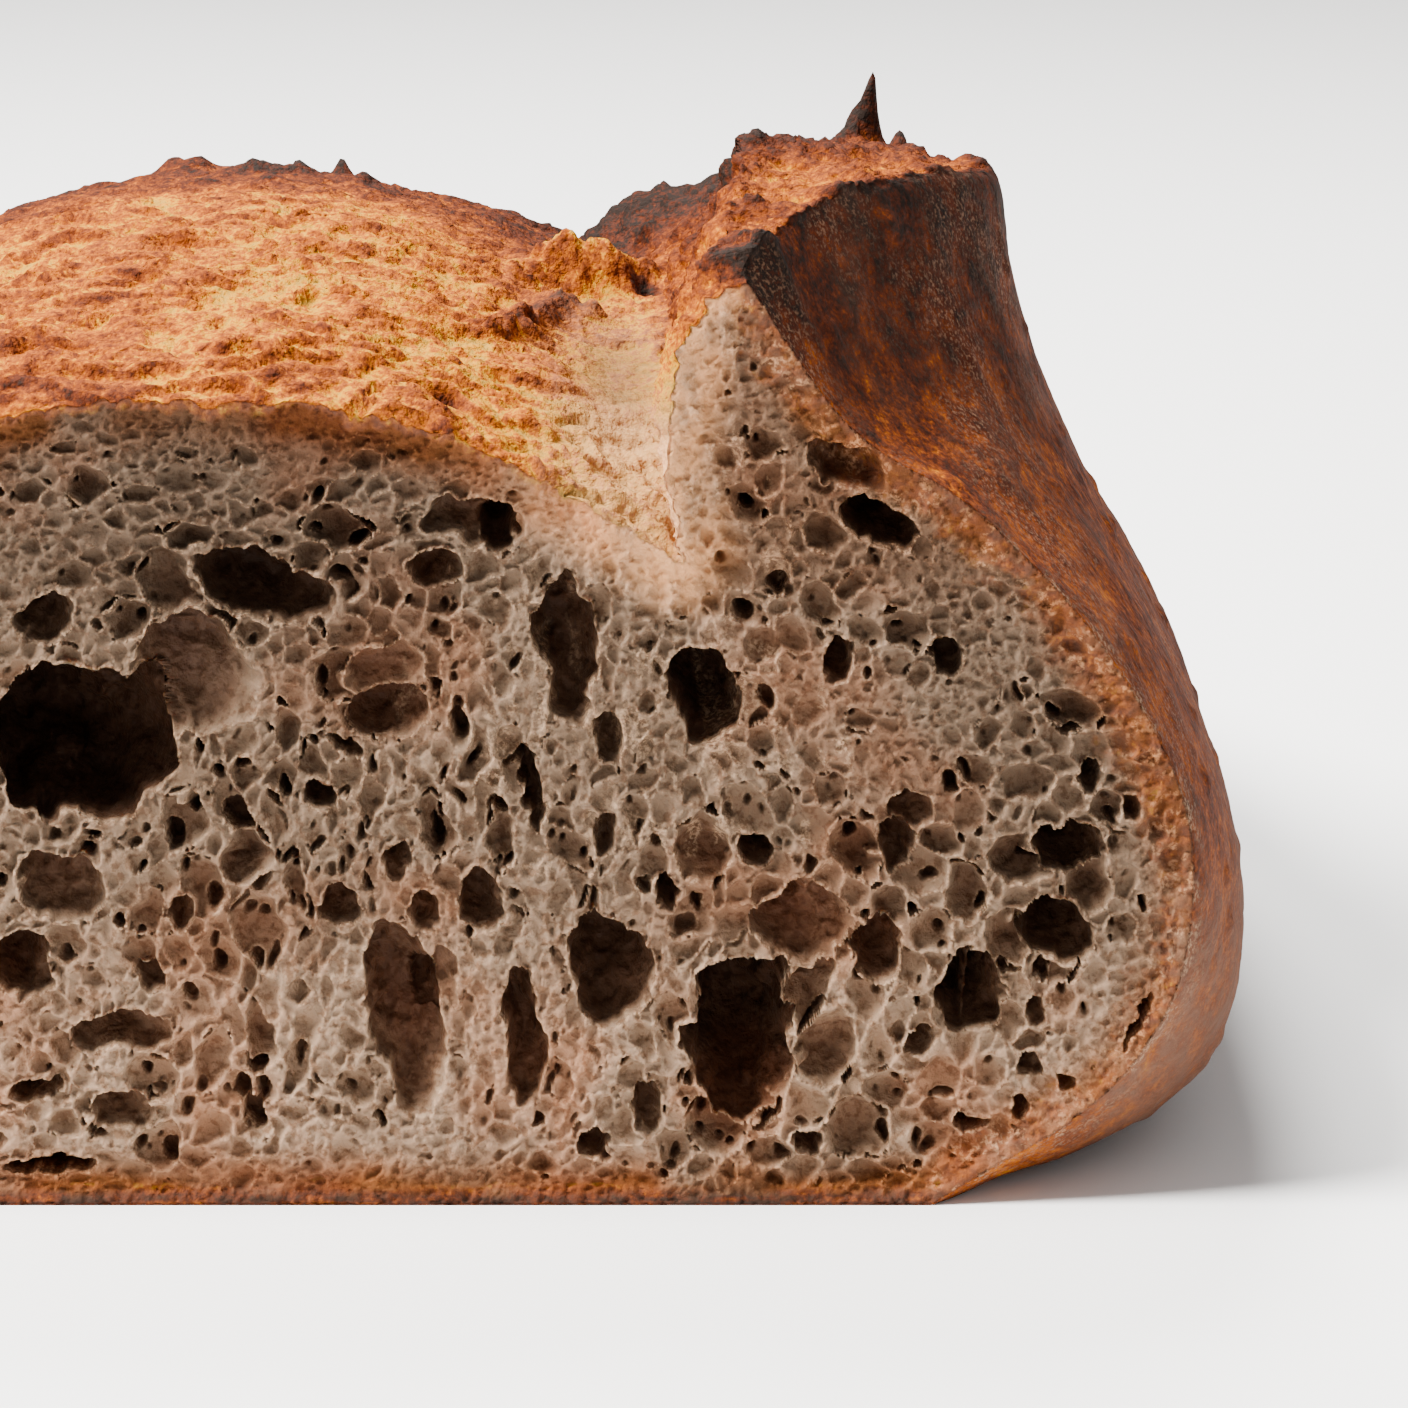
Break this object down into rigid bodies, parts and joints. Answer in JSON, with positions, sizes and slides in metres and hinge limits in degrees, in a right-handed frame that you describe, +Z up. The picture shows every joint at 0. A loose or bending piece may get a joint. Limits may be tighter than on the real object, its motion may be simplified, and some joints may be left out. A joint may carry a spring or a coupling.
{
  "type": "cut sourdough loaf",
  "caption": "Oval crusty bread loaf on its flat base, one end cut off square to show an open crumb, with a raised ear of torn crust along a curved score.",
  "frame": {"origin": "middle of the loaf's bounding box, at the height of its flat base", "axes": "+Z up, -Y out of the cut face towards the viewer, +Y towards the loaf's rounded far end, +X to the ear's side, right as seen from the cut face"},
  "size_m": [0.1612, 0.185, 0.0958],
  "materials": {
    "crust": "dry matt baked crust and crumb"
  },
  "bodies": {
    "root": {"sourdough_loaf": "crust"}
  },
  "joints": []
}
